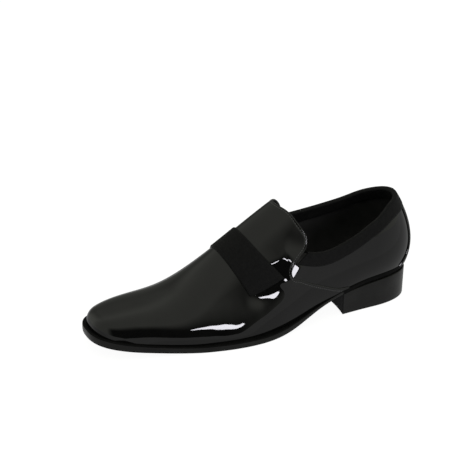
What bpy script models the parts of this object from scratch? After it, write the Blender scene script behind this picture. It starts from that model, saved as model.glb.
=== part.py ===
"""Formal slip-on shoe for the left foot: patent upper with a ribbon strap, thin leather sole and a low heel.

Lengths are in millimetres until a mesh is made. The last runs along +X from the heel's back to the toe,
+Y is the outer side of the foot and z = 0 is the floor.
"""

import bmesh
import bpy
import numpy as np

MM = 0.001
OUTER, INNER = 1.0, -1.0
SMALL_STEP = 0.05
MERGE_DISTANCE = 1e-7
SHARP_DEGREES = 40


def table(columns, *rows):
    """A short table as one array for each named column."""
    return dict(zip(columns.split(), np.array(rows, float).T))


# Last: length of the feather line, and the rounding of its two ends
LAST_LENGTH = 296.0
HEEL_AXIS_X = 44.0
HEEL_ROUNDNESS = 2.15
TOE_CAP_LENGTH = 39.0
TOE_ROUNDNESS = 2.5
TOE_TIP_Y = 1.5
NOSE_LENGTH = 12.0
NOSE_ROUNDNESS = 2.4

# Half widths of the feather line before its ends are rounded
FEATHER = table(
    "x outer inner",
    (0, 31.0, 31.0),
    (44, 31.2, 31.0),
    (75, 33.5, 29.5),
    (105, 37.0, 27.0),
    (135, 42.8, 28.0),
    (165, 46.8, 35.5),
    (190, 46.3, 43.5),
    (212, 43.0, 46.0),
    (235, 38.0, 43.5),
    (262, 31.7, 36.5),
    (278, 29.5, 32.9),
    (296, 29.6, 29.5),
)

# Underside of the sole behind the ball; the ball is flat on the floor, then the toe springs up
SHANK = table(
    "x underside",
    (0, 26.0),
    (35, 25.2),
    (75, 20.0),
    (100, 13.7),
    (130, 3.0),
    (150, 0.3),
    (172, 0.0),
)
BALL_REAR_X = 172.0
BALL_FRONT_X = 210.0
TOE_SPRING = 12.2
TOE_SPRING_POWER = 1.55

# Sole: its ledge past the feather line is below 0 under the heel, and its outer side flares at the ball
SOLE = table(
    "x thickness ledge flare",
    (0, 4.5, -1.6, 0.0),
    (60, 4.5, -1.2, 0.0),
    (100, 3.8, 1.6, 0.0),
    (130, 6.2, 2.5, 0.9),
    (150, 6.1, 3.0, 2.0),
    (172, 6.0, 3.2, 2.2),
    (200, 6.0, 3.4, 0.8),
    (225, 6.1, 3.4, -0.4),
    (262, 6.9, 3.5, 0.0),
    (296, 8.0, 3.5, 0.0),
)

# Sections: height and side shift of the ridge, flatness of the crown and fullness of the side,
# then the wall's swell on each side, which is greatest at a third of the height
SWELL_AT_THIRD = 27 / 4
SECTION = table(
    "x ridge_z ridge_y crown side swell_outer swell_inner",
    (20, 120.0, 0.0, 2.05, 1.9, 5.5, 6.0),
    (44, 120.0, 0.0, 2.05, 1.9, 5.5, 6.0),
    (75, 119.0, -0.3, 2.15, 1.9, 2.8, 5.0),
    (105, 114.0, -1.2, 2.1, 1.85, 1.6, 5.0),
    (135, 99.0, -2.5, 2.0, 1.6, 0.3, 4.0),
    (165, 79.8, -2.5, 1.95, 1.3, -0.6, 3.0),
    (195, 58.8, -1.5, 1.95, 1.4, 0.0, 2.2),
    (225, 40.0, 0.0, 2.4, 1.8, 0.2, 1.8),
    (255, 34.7, 0.5, 3.3, 2.0, -0.6, 1.0),
    (296, 30.4, 1.0, 3.3, 2.1, -0.6, 1.0),
)

# Top edge of the quarters; run is degrees round the heel when negative, then millimetres ahead of its axis
TOPLINE = table(
    "run outer_z inner_z",
    (-90, 94.0, 94.0),
    (-60, 93.4, 92.0),
    (-40, 92.0, 89.5),
    (-20, 88.6, 86.2),
    (-5, 83.0, 82.8),
    (4, 79.1, 81.0),
    (14, 74.0, 79.8),
    (24, 69.4, 79.0),
    (35, 65.5, 78.4),
    (46, 62.9, 78.0),
    (56, 62.6, 78.0),
    (66, 64.3, 78.6),
    (80, 68.4, 79.2),
    (96, 71.2, 78.5),
)

# Rear edge of the vamp: up the side seam, round the throat corner, then round the tongue to the ridge
VAMP_EDGE_OUTER = table(
    "angle x",
    (0, 70.0),
    (2, 78.7),
    (7, 91.3),
    (13, 103.8),
    (19, 114.4),
    (24, 122.1),
    (27.5, 127.2),
    (31.5, 128.6),
    (34.3, 125.1),
    (36.2, 117.2),
    (38, 112.2),
    (42, 110.5),
    (47, 112.3),
    (54, 116.0),
    (62, 119.3),
    (71, 123.4),
    (80.5, 127.3),
    (90, 128.5),
)
VAMP_EDGE_INNER = table(
    "angle x",
    (0, 72.0),
    (2, 79.5),
    (8, 93.0),
    (13.5, 104.5),
    (19, 113.7),
    (25, 121.5),
    (31, 128.0),
    (37, 131.0),
    (42, 128.5),
    (43.5, 120.5),
    (45.2, 114.5),
    (48.6, 111.8),
    (53.6, 113.0),
    (59.6, 116.0),
    (66, 119.5),
    (73.5, 123.5),
    (81.5, 127.3),
    (90, 128.5),
)

# Upper: offsets of its layers from the last's outer surface
VAMP_WALL = 1.6
QUARTER_FACE = -1.0
QUARTER_WALL = 1.4
QUARTER_LAP = 12.0
QUARTER_FRONT_X = 140.0
QUARTER_RISE = 0.3
LASTED_X = 205.0

GAP = 0.3
RIBBON = 1.2
STAY_THICKNESS = 1.0

# Collar binding over the top edge
BINDING_WIDTH = 10.5
BINDING_CROWN = 1.5
BINDING_SHOULDER = 0.8
BINDING_FRONT_X = 109.5
BINDING_SLANT = 11.0
BINDING_SLANT_RUN = 22.0

# Back stay: its edges by share of its height, as degrees round the heel
STAY_EDGE = table(
    "share angle",
    (0.0, 38.0),
    (0.2, 49.0),
    (0.5, 56.0),
    (1.0, 59.0),
)

# Strap: its edges lie in slanting planes, so x falls evenly with the height below the ridge
STRAP_FRONT_X = 182.0
STRAP_FRONT_TRAIL = 36.0
STRAP_REAR_X = 160.8
STRAP_REAR_TRAIL = 53.5
STRAP_FRONT_END_ANGLE = 36.0
STRAP_REAR_END_ANGLE = 32.0

INSOLE_INSET = 3.4
INSOLE_THICKNESS = 2.5
EDGE_BEVEL = 0.5

# Heel block under the seat
BREAST_X = 75.5
BREAST_HOLLOW = 3.0
HEEL_INSET = 0.6
HEEL_TAPER = 1.2

# Mesh density: stations round the heel, along the shank and round the toe, and rows across
HEEL_STATIONS = 14
SHANK_STATIONS = 20
TOE_STATIONS = 9
SOLE_ROWS = 7
VAMP_ROWS = 25
VAMP_LAP_COLUMNS = 11
VAMP_TOE_COLUMNS = 8
QUARTER_ROWS = 10
STRAP_ROWS = 27
STRAP_COLUMNS = 5
STAY_ROWS = 10
STAY_COLUMNS = 13

PATENT = ((0.022, 0.022, 0.020), 0.08)
RIBBED = ((0.010, 0.010, 0.010), 0.70)
LEATHER_EDGE = ((0.014, 0.014, 0.013), 0.35)
SOCK = ((0.012, 0.012, 0.012), 0.55)


def spline(knots, values):
    """Natural cubic through the knots, straight past its ends."""
    count = len(knots)
    step = np.diff(knots)
    rise = np.diff(values) / step
    system = np.eye(count)
    pull = np.zeros(count)
    for i in range(1, count - 1):
        system[i, i - 1 : i + 2] = step[i - 1], 2 * (step[i - 1] + step[i]), step[i]
        pull[i] = 6 * (rise[i] - rise[i - 1])
    bend = np.linalg.solve(system, pull)
    first = rise[0] - step[0] * bend[1] / 6
    last = rise[-1] + step[-1] * bend[-2] / 6

    def at(x):
        x = np.asarray(x, float)
        inside = np.clip(x, knots[0], knots[-1])
        i = np.clip(np.searchsorted(knots, inside) - 1, 0, count - 2)
        width = step[i]
        left = (knots[i + 1] - inside) / width
        right = 1 - left
        curved = (left**3 - left) * bend[i] + (right**3 - right) * bend[i + 1]
        level = left * values[i] + right * values[i + 1] + curved * width**2 / 6
        return level + first * np.minimum(x - knots[0], 0) + last * np.maximum(x - knots[-1], 0)

    return at


def column(source, name):
    """One column of a table as a smooth function of its first column."""
    return spline(next(iter(source.values())), source[name])


half_outer = column(FEATHER, "outer")
half_inner = column(FEATHER, "inner")
shank_z = column(SHANK, "underside")
sole_thickness = column(SOLE, "thickness")
sole_ledge = column(SOLE, "ledge")
sole_flare = column(SOLE, "flare")
ridge_z = column(SECTION, "ridge_z")
ridge_y = column(SECTION, "ridge_y")
crown = column(SECTION, "crown")
side_fullness = column(SECTION, "side")
swell_outer = column(SECTION, "swell_outer")
swell_inner = column(SECTION, "swell_inner")
topline_outer = column(TOPLINE, "outer_z")
topline_inner = column(TOPLINE, "inner_z")
stay_angle = column(STAY_EDGE, "angle")


def rounded(share, power):
    """Falls from 1 to 0 along a superellipse as share goes from 0 to 1."""
    return (1 - np.clip(share, 0, 1) ** power) ** (1 / power)


def underside_z(x):
    """Underside of the sole over the floor."""
    spring = np.maximum((x - BALL_FRONT_X) / (LAST_LENGTH - BALL_FRONT_X), 0)
    toe = TOE_SPRING * spring**TOE_SPRING_POWER
    return np.where(x < BALL_REAR_X, np.maximum(shank_z(np.maximum(x, 0)), 0), toe)


def feather_z(x):
    """Lower edge of the upper, just over the sole."""
    return underside_z(x) + sole_thickness(x)


def feather(run, side):
    """Point of the feather line, with its share of the toe's rounding."""
    turn = np.sin(np.radians(np.clip(-run, 0, 90)))
    x = HEEL_AXIS_X + np.maximum(run, 0) - HEEL_AXIS_X * turn ** (2 / HEEL_ROUNDNESS)
    heel = rounded((HEEL_AXIS_X - x) / HEEL_AXIS_X, HEEL_ROUNDNESS)
    toe = rounded((x - LAST_LENGTH + TOE_CAP_LENGTH) / TOE_CAP_LENGTH, TOE_ROUNDNESS)
    half = np.where(side > 0, half_outer(x), half_inner(x))
    return x, side * half * heel * toe + TOE_TIP_Y * (1 - toe), toe


def surface(run, side, angle):
    """Point of the last: angle is 0 degrees on the feather line and 90 on the ridge."""
    x, y, toe = feather(run, side)
    station = np.maximum(x, HEEL_AXIS_X)
    rise = np.sin(np.radians(angle)) ** (2 / side_fullness(station))
    reach = np.clip(np.cos(np.radians(angle)), 0, 1) ** (2 / crown(station))
    top_y = ridge_y(station) * toe + TOE_TIP_Y * (1 - toe)
    out_x = x - station
    out_y = y - top_y
    length = np.maximum(np.hypot(out_x, out_y), MERGE_DISTANCE)
    swell = np.where(side > 0, swell_outer(station), swell_inner(station)) * toe
    spread = reach + swell * SWELL_AT_THIRD * rise * (1 - rise) ** 2 / length
    low = feather_z(x)
    nose = rounded((x - LAST_LENGTH + NOSE_LENGTH) / NOSE_LENGTH, NOSE_ROUNDNESS)
    z = low + (ridge_z(station) - low) * nose * rise
    return np.stack(np.broadcast_arrays(station + out_x * spread, top_y + out_y * spread, z), axis=-1)


def over(run, turn):
    """Point of the last with the angle counted from the outer feather line, over the ridge at 90, to 180."""
    run, turn = np.broadcast_arrays(np.asarray(run, float), np.asarray(turn, float))
    return np.where(
        (turn <= 90)[..., None],
        surface(run, OUTER, np.minimum(turn, 90)),
        surface(run, INNER, np.minimum(180 - turn, 90)),
    )


def unit(vectors):
    return vectors / np.maximum(np.linalg.norm(vectors, axis=-1, keepdims=True), MERGE_DISTANCE)


def frame_at(run, turn):
    """Point, outward normal and upward tangent of the last."""
    run, turn = np.broadcast_arrays(np.asarray(run, float), np.asarray(turn, float))
    tip = LAST_LENGTH - HEEL_AXIS_X
    ahead = over(np.minimum(run + SMALL_STEP, tip), turn) - over(np.maximum(run - SMALL_STEP, -90), turn)
    across = over(run, np.minimum(turn + SMALL_STEP, 180)) - over(run, np.maximum(turn - SMALL_STEP, 0))
    normal = unit(np.cross(across, ahead))
    normal[run > tip - SMALL_STEP] = (1, 0, 0)
    rim = (turn < SMALL_STEP) | (turn > 180 - SMALL_STEP)
    normal[rim, 2] = 0
    up = unit(across) * np.where(turn <= 90, 1, -1)[..., None]
    return over(run, turn), unit(normal), up


def lifted(run, turn, offset, climb=0.0):
    """Point at an offset from the last's surface, and at a climb up it."""
    point, normal, up = frame_at(run, turn)
    return point + normal * offset + up * climb


def angle_at(run, side, z):
    """Section angle at which the wall reaches a height."""
    x, _, _ = feather(run, side)
    station = np.maximum(x, HEEL_AXIS_X)
    low = feather_z(x)
    rise = np.clip((z - low) / (ridge_z(station) - low), 0, 1)
    return np.degrees(np.arcsin(rise ** (side_fullness(station) / 2)))


def turn_of(side, angle):
    return np.where(side > 0, angle, 180 - angle)


def topline_z(run, side):
    return np.where(side > 0, topline_outer(run), topline_inner(run))


def stations(rear_run, front_run):
    """Runs from the heel's back to the toe, closer together round both ends."""
    toe_start = LAST_LENGTH - TOE_CAP_LENGTH - HEEL_AXIS_X
    heel = np.linspace(-90, 0, HEEL_STATIONS, endpoint=False)
    shank = np.linspace(0, toe_start, SHANK_STATIONS, endpoint=False)
    sweep = np.sin(np.linspace(0, np.pi / 2, TOE_STATIONS))
    runs = np.concatenate([heel, shank, toe_start + TOE_CAP_LENGTH * sweep ** (2 / TOE_ROUNDNESS)])
    inside = runs[(runs > rear_run + 1) & (runs < front_run - 1)]
    return np.concatenate([[rear_run], inside, [front_run]])


def ring(front_outer, front_inner):
    """Runs and sides from the outer front, back round the heel, to the inner front."""
    outer = stations(-90, front_outer)[::-1]
    inner = stations(-90, front_inner)[1:]
    runs = np.concatenate([outer, inner])
    sides = np.concatenate([np.full(len(outer), OUTER), np.full(len(inner), INNER)])
    return runs, sides


def edge_line(edge, rows):
    """Evenly spaced points along an edge table, as angles and x."""
    knots = np.concatenate([[0], np.cumsum(np.hypot(np.diff(edge["angle"]), np.diff(edge["x"])))])
    along = np.linspace(0, knots[-1], rows)
    return spline(knots, edge["angle"])(along), spline(knots, edge["x"])(along)


def finish(name, colour, roughness):
    material = bpy.data.materials.new(name)
    material.use_nodes = True
    shader = material.node_tree.nodes["Principled BSDF"]
    shader.inputs["Base Color"].default_value = (*colour, 1.0)
    shader.inputs["Roughness"].default_value = roughness
    return material


def closed_sheet(outside, inside, rear_rim=True, front_rim=True):
    """Vertices and faces of the solid between two grids; an end that closes on itself needs no rim."""
    rows, columns = outside.shape[:2]
    index = np.arange(2 * rows * columns).reshape(2, rows, columns)
    faces = []
    for grid in index:
        corners = grid[:-1, :-1], grid[1:, :-1], grid[1:, 1:], grid[:-1, 1:]
        faces += np.stack(corners, axis=-1).reshape(-1, 4).tolist()
    rims = [index[:, 0], index[:, -1]]
    rims += [index[:, :, 0]] * rear_rim + [index[:, :, -1]] * front_rim
    for near, far in rims:
        faces += np.stack((near[:-1], near[1:], far[1:], far[:-1]), axis=-1).tolist()
    return np.concatenate([outside.reshape(-1, 3), inside.reshape(-1, 3)]), faces


def add_piece(name, solid, material, centre):
    """One closed object: coinciding corners are merged and the faces turned outward."""
    vertices, faces = solid
    mesh = bpy.data.meshes.new(name)
    mesh.from_pydata(((vertices - centre) * MM).tolist(), [], faces)
    shape = bmesh.new()
    shape.from_mesh(mesh)
    bmesh.ops.remove_doubles(shape, verts=shape.verts, dist=MERGE_DISTANCE)
    bmesh.ops.dissolve_degenerate(shape, edges=shape.edges, dist=MERGE_DISTANCE)
    bmesh.ops.recalc_face_normals(shape, faces=shape.faces)
    shape.to_mesh(mesh)
    shape.free()
    mesh.shade_smooth()
    mesh.set_sharp_from_angle(angle=np.radians(SHARP_DEGREES))
    mesh.materials.append(material)
    piece = bpy.data.objects.new(name, mesh)
    bpy.context.collection.objects.link(piece)
    return piece


def vamp():
    """Vamp and tongue in one: rows leave the rear edge and even out toward the toe."""
    outer_angle, outer_x = edge_line(VAMP_EDGE_OUTER, VAMP_ROWS)
    inner_angle, inner_x = edge_line(VAMP_EDGE_INNER, VAMP_ROWS)
    start_turn = np.concatenate([outer_angle, 180 - inner_angle[-2::-1]])
    start_x = np.concatenate([outer_x, inner_x[-2::-1]])
    even_turn = np.linspace(0, 180, len(start_turn))
    share = np.linspace(0, 1, VAMP_LAP_COLUMNS)
    lap_x = start_x[:, None] + (LASTED_X - start_x[:, None]) * share
    settle = share**2 * (3 - 2 * share)
    lap_turn = start_turn[:, None] + (even_turn - start_turn)[:, None] * settle
    fore = LAST_LENGTH - LASTED_X
    toe_x = LASTED_X + fore * np.sin(np.linspace(0, np.pi / 2, VAMP_TOE_COLUMNS + 1))[1:]
    x = np.hstack([lap_x, np.tile(toe_x, (len(start_turn), 1))])
    turn = np.hstack([lap_turn, np.tile(even_turn[:, None], VAMP_TOE_COLUMNS)])
    run = x - HEEL_AXIS_X
    return closed_sheet(lifted(run, turn, 0.0), lifted(run, turn, -VAMP_WALL), front_rim=False)


def quarter_foot(run, side):
    """Lower edge of the quarters: on the feather line, then along the lap under the vamp's seam."""
    angles = []
    for edge in (VAMP_EDGE_OUTER, VAMP_EDGE_INNER):
        seam = np.argmax(edge["x"])
        lap_x = edge["x"][: seam + 1] + QUARTER_LAP
        angles.append(np.interp(HEEL_AXIS_X + np.maximum(run, 0), lap_x, edge["angle"][: seam + 1]))
    rise = angle_at(run, side, feather_z(feather(run, side)[0]) + QUARTER_RISE)
    return np.maximum(np.where(side > 0, angles[0], angles[1]), rise)


def quarters():
    """Both quarters round the heel, running forward under the vamp."""
    front = QUARTER_FRONT_X - HEEL_AXIS_X
    run, side = ring(front, front)
    foot = quarter_foot(run, side)
    top = angle_at(run, side, topline_z(run, side))
    share = np.linspace(0, 1, QUARTER_ROWS)[:, None]
    turn = turn_of(side, foot + (top - foot) * share)
    run = np.broadcast_to(run, turn.shape)
    return closed_sheet(lifted(run, turn, QUARTER_FACE), lifted(run, turn, QUARTER_FACE - QUARTER_WALL))


def binding_foot_z(run, side):
    return topline_z(run, side) - BINDING_WIDTH


def collar_binding():
    """Ribbon folded over the top edge of the quarters, its front ends slanting under the tongue's corners."""
    front = BINDING_FRONT_X - HEEL_AXIS_X
    run, side = ring(front, front)
    face = QUARTER_FACE + GAP
    back = QUARTER_FACE - QUARTER_WALL - GAP
    fold = 0.5 * (face + back)
    shoulder = GAP + BINDING_SHOULDER * (BINDING_CROWN - GAP)
    half = 0.5 * RIBBON
    # share of the width up to the fold, then offset and climb of the ribbon's outside and of its inside
    path = (
        (0.0, face + RIBBON, 0.0, face, 0.0),
        (0.5, face + RIBBON, 0.0, face, 0.0),
        (1.0, face + RIBBON, GAP, face, GAP),
        (1.0, face + half, shoulder, face, GAP),
        (1.0, fold, BINDING_CROWN, fold, GAP),
        (1.0, back - half, shoulder, back, GAP),
        (1.0, back - RIBBON, GAP, back, GAP),
        (0.5, back - RIBBON, 0.0, back, 0.0),
        (0.0, back - RIBBON, 0.0, back, 0.0),
    )
    near_front = np.clip((run - front + BINDING_SLANT_RUN) / BINDING_SLANT_RUN, 0, 1) ** 2
    outside, inside = [], []
    for share, out_offset, out_climb, in_offset, in_climb in path:
        along = run + BINDING_SLANT * (1 - share) * near_front
        top = angle_at(along, side, topline_z(along, side))
        foot = angle_at(along, side, binding_foot_z(along, side))
        turn = turn_of(side, foot + (top - foot) * share)
        outside.append(lifted(along, turn, out_offset, out_climb))
        inside.append(lifted(along, turn, in_offset, in_climb))
    return closed_sheet(np.array(outside), np.array(inside))


def back_stay():
    """Strip up the heel's back, from the sole to just under the binding."""
    share = np.linspace(0, 1, STAY_ROWS)[:, None]
    across = np.linspace(-1, 1, STAY_COLUMNS)
    side = np.where(across < 0, OUTER, INNER)
    run = -90 + (90 - stay_angle(share)) * np.abs(across)
    low = feather_z(feather(run, side)[0]) + QUARTER_RISE
    high = binding_foot_z(run, side) - GAP
    turn = turn_of(side, angle_at(run, side, low + (high - low) * share))
    face = QUARTER_FACE + GAP
    return closed_sheet(lifted(run, turn, face + STAY_THICKNESS), lifted(run, turn, face))


def strap():
    """Ribbon across the vamp in front of the tongue, its ends cut on a slant along the sole."""
    share = np.linspace(0, 1, STRAP_COLUMNS)
    end = STRAP_REAR_END_ANGLE + (STRAP_FRONT_END_ANGLE - STRAP_REAR_END_ANGLE) * share
    turn = end + (180 - 2 * end) * np.linspace(0, 1, STRAP_ROWS)[:, None]
    drop = 1 - np.sin(np.radians(turn))
    front = STRAP_FRONT_X - STRAP_FRONT_TRAIL * drop
    rear = STRAP_REAR_X - STRAP_REAR_TRAIL * drop
    run = rear + (front - rear) * share - HEEL_AXIS_X
    return closed_sheet(lifted(run, turn, GAP + RIBBON), lifted(run, turn, GAP))


def outline(run, side, grow):
    """Feather line moved outward in plan."""
    tip = LAST_LENGTH - HEEL_AXIS_X
    x, y, _ = feather(run, side)
    ahead = np.stack(feather(np.minimum(run + SMALL_STEP, tip), side)[:2], axis=-1)
    behind = np.stack(feather(np.maximum(run - SMALL_STEP, -90), side)[:2], axis=-1)
    along = unit(ahead - behind)
    outward = np.stack([-along[:, 1], along[:, 0]], axis=-1) * side
    outward[run <= -90] = (-1, 0)
    outward[run >= tip - SMALL_STEP] = (1, 0)
    return np.stack([x, y], axis=-1) + outward * np.reshape(grow, (-1, 1))


def slab(run, grow, top, bottom, foot_grow, hollow=0.0, flare=0.0):
    """Bevelled plate between two heights over x; its front may be hollowed and its outer side flared."""
    shares = np.linspace(0, 1, SOLE_ROWS)
    edge_lanes = 2
    under_shares = np.concatenate([np.zeros(edge_lanes), shares, np.ones(edge_lanes)])
    ease = np.linspace(0, 1, len(run)) ** 4

    def lane(share, margin, height):
        outer = outline(run, OUTER, margin + flare)
        inner = outline(run, INNER, margin)
        plan = outer + (inner - outer) * share
        level = height(plan[:, 0])
        plan[:, 0] -= hollow * ease * 4 * share * (1 - share)
        return np.column_stack([plan, level])

    top_lanes = [
        (0, foot_grow, lambda x: bottom(x) + EDGE_BEVEL),
        (0, grow, lambda x: top(x) - EDGE_BEVEL),
        *[(share, grow - EDGE_BEVEL, top) for share in shares],
        (1, grow, lambda x: top(x) - EDGE_BEVEL),
        (1, foot_grow, lambda x: bottom(x) + EDGE_BEVEL),
    ]
    upper_side = np.array([lane(*row) for row in top_lanes])
    under_side = np.array([lane(share, foot_grow - EDGE_BEVEL, bottom) for share in under_shares])
    return closed_sheet(upper_side, under_side, rear_rim=False, front_rim=hollow > 0)


def outsole():
    run = stations(-90, LAST_LENGTH - HEEL_AXIS_X)
    x, _, _ = feather(run, OUTER)
    grow = sole_ledge(x)
    return slab(run, grow, lambda x: feather_z(x) - GAP, underside_z, grow, flare=sole_flare(x))


def insole():
    run = stations(-90, LAST_LENGTH - HEEL_AXIS_X)
    return slab(run, -INSOLE_INSET, lambda x: feather_z(x) + INSOLE_THICKNESS, feather_z, -INSOLE_INSET)


def heel():
    run = stations(-90, BREAST_X - HEEL_AXIS_X)
    return slab(run, -HEEL_INSET, lambda x: underside_z(x) - GAP, np.zeros_like, -HEEL_TAPER, BREAST_HOLLOW)


def clear_scene():
    for item in list(bpy.data.objects):
        bpy.data.objects.remove(item, do_unlink=True)


def build():
    clear_scene()
    patent = finish("patent_leather", *PATENT)
    ribbed = finish("ribbed_ribbon", *RIBBED)
    edge = finish("blackened_leather", *LEATHER_EDGE)
    sock = finish("sock_leather", *SOCK)
    pieces = {
        "upper": (vamp(), patent),
        "quarters": (quarters(), patent),
        "back_stay": (back_stay(), patent),
        "collar_binding": (collar_binding(), ribbed),
        "strap": (strap(), ribbed),
        "insole": (insole(), sock),
        "outsole": (outsole(), edge),
        "heel": (heel(), edge),
    }
    corners = np.concatenate([solid[0] for solid, _ in pieces.values()])
    centre = 0.5 * (corners.min(axis=0) + corners.max(axis=0)) * (1, 1, 0)
    made = {name: add_piece(name, solid, material, centre) for name, (solid, material) in pieces.items()}

    # The quarters are joined into the upper's one wall, so on their own they are only a guide
    joined = made["upper"].modifiers.new("quarters", "BOOLEAN")
    joined.operation = "UNION"
    joined.solver = "EXACT"
    joined.object = made["quarters"]
    made["quarters"].hide_render = True
    made["quarters"].display_type = "WIRE"


build()
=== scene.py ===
"""Looks of the formal slip-on: patent leather, ribbed ribbon, stitches, sole and heel, in studio light.

Lengths are in millimetres in the shoe's own frame, +X from the heel's back to the toe, +Y to the outer
side, until a mesh is made. A place on the last is given by x and by turn, the angle from the outer feather
line (0) over the ridge (90) to the inner one (180). A run is the distance ahead of the heel's axis, or,
below 0, the angle round the heel.
"""

import math

import bmesh
import bpy
import numpy as np
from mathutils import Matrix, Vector


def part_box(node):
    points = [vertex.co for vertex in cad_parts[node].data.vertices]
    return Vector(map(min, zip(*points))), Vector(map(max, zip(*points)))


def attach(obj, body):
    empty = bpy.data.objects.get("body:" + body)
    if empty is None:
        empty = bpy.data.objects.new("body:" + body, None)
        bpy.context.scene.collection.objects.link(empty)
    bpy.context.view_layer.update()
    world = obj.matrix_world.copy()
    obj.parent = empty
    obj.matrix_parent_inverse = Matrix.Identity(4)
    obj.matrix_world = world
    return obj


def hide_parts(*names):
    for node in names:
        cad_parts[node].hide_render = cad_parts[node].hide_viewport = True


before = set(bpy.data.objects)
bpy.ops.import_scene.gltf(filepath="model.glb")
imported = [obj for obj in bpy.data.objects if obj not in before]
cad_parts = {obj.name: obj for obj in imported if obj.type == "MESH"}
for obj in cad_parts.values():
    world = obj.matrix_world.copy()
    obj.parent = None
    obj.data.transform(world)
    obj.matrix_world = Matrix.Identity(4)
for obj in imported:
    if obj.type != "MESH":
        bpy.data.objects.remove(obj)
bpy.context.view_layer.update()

MM = 0.001
OUTER, INNER = 1.0, -1.0
SMALL_STEP = 0.05
SHARP_ANGLE = 70.0
TINY = 1e-7


def table(columns, *rows):
    """A short table as one array for each named column."""
    return dict(zip(columns.split(), np.array(rows, float).T))


# Last, as in the solids: length of the feather line and the rounding of its ends
LAST_LENGTH = 296.0
HEEL_AXIS_X = 44.0
HEEL_ROUNDNESS = 2.15
TOE_CAP_LENGTH = 39.0
TOE_ROUNDNESS = 2.5
TOE_TIP_Y = 1.5
NOSE_LENGTH = 12.0
NOSE_ROUNDNESS = 2.4
FEATHER = table(
    "x outer inner",
    (0, 31.0, 31.0),
    (44, 31.2, 31.0),
    (75, 33.5, 29.5),
    (105, 37.0, 27.0),
    (135, 42.8, 28.0),
    (165, 46.8, 35.5),
    (190, 46.3, 43.5),
    (212, 43.0, 46.0),
    (235, 38.0, 43.5),
    (262, 31.7, 36.5),
    (278, 29.5, 32.9),
    (296, 29.6, 29.5),
)
SHANK = table(
    "x underside",
    (0, 26.0),
    (35, 25.2),
    (75, 20.0),
    (100, 13.7),
    (130, 3.0),
    (150, 0.3),
    (172, 0.0),
)
BALL_REAR_X = 172.0
BALL_FRONT_X = 210.0
TOE_SPRING = 12.2
TOE_SPRING_POWER = 1.55
SOLE = table(
    "x thickness ledge flare",
    (0, 4.5, -1.6, 0.0),
    (60, 4.5, -1.2, 0.0),
    (100, 3.8, 1.6, 0.0),
    (130, 6.2, 2.5, 0.9),
    (150, 6.1, 3.0, 2.0),
    (172, 6.0, 3.2, 2.2),
    (200, 6.0, 3.4, 0.8),
    (225, 6.1, 3.4, -0.4),
    (262, 6.9, 3.5, 0.0),
    (296, 8.0, 3.5, 0.0),
)
# Brings the swell of a side to its full height, at a third of the rise
SWELL_AT_THIRD = 27 / 4
SECTION = table(
    "x ridge_z ridge_y crown side swell_outer swell_inner",
    (20, 120.0, 0.0, 2.05, 1.9, 5.5, 6.0),
    (44, 120.0, 0.0, 2.05, 1.9, 5.5, 6.0),
    (75, 119.0, -0.3, 2.15, 1.9, 2.8, 5.0),
    (105, 114.0, -1.2, 2.1, 1.85, 1.6, 5.0),
    (135, 99.0, -2.5, 2.0, 1.6, 0.3, 4.0),
    (165, 79.8, -2.5, 1.95, 1.3, -0.6, 3.0),
    (195, 58.8, -1.5, 1.95, 1.4, 0.0, 2.2),
    (225, 40.0, 0.0, 2.4, 1.8, 0.2, 1.8),
    (255, 34.7, 0.5, 3.3, 2.0, -0.6, 1.0),
    (296, 30.4, 1.0, 3.3, 2.1, -0.6, 1.0),
)
TOPLINE = table(
    "run outer_z inner_z",
    (-90, 94.0, 94.0),
    (-60, 93.4, 92.0),
    (-40, 92.0, 89.5),
    (-20, 88.6, 86.2),
    (-5, 83.0, 82.8),
    (4, 79.1, 81.0),
    (14, 74.0, 79.8),
    (24, 69.4, 79.0),
    (35, 65.5, 78.4),
    (46, 62.9, 78.0),
    (56, 62.6, 78.0),
    (66, 64.3, 78.6),
    (80, 68.4, 79.2),
    (96, 71.2, 78.5),
)
VAMP_EDGE_OUTER = table(
    "angle x",
    (0, 70.0),
    (2, 78.7),
    (7, 91.3),
    (13, 103.8),
    (19, 114.4),
    (24, 122.1),
    (27.5, 127.2),
    (31.5, 128.6),
    (34.3, 125.1),
    (36.2, 117.2),
    (38, 112.2),
    (42, 110.5),
    (47, 112.3),
    (54, 116.0),
    (62, 119.3),
    (71, 123.4),
    (80.5, 127.3),
    (90, 128.5),
)
VAMP_EDGE_INNER = table(
    "angle x",
    (0, 72.0),
    (2, 79.5),
    (8, 93.0),
    (13.5, 104.5),
    (19, 113.7),
    (25, 121.5),
    (31, 128.0),
    (37, 131.0),
    (42, 128.5),
    (43.5, 120.5),
    (45.2, 114.5),
    (48.6, 111.8),
    (53.6, 113.0),
    (59.6, 116.0),
    (66, 119.5),
    (73.5, 123.5),
    (81.5, 127.3),
    (90, 128.5),
)
VAMP_WALL = 1.6
QUARTER_FACE = -1.0
QUARTER_WALL = 1.4
QUARTER_LAP = 12.0
QUARTER_FRONT_X = 140.0
QUARTER_RISE = 0.3
LASTED_X = 205.0
GAP = 0.3
RIBBON = 1.2
STAY_THICKNESS = 1.0
BINDING_WIDTH = 10.5
BINDING_CROWN = 1.5
BINDING_FRONT_X = 109.5
BINDING_SLANT = 11.0
BINDING_SLANT_RUN = 22.0
STAY_EDGE = table(
    "share angle",
    (0.0, 38.0),
    (0.2, 49.0),
    (0.5, 56.0),
    (1.0, 59.0),
)
STRAP_FRONT_X = 182.0
STRAP_FRONT_TRAIL = 36.0
STRAP_REAR_X = 160.8
STRAP_REAR_TRAIL = 53.5
STRAP_FRONT_END_ANGLE = 36.0
STRAP_REAR_END_ANGLE = 32.0
INSOLE_INSET = 3.4
INSOLE_THICKNESS = 2.5
BREAST_X = 75.5
BREAST_HOLLOW = 3.0
HEEL_INSET = 0.6
HEEL_TAPER = 1.2

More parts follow.
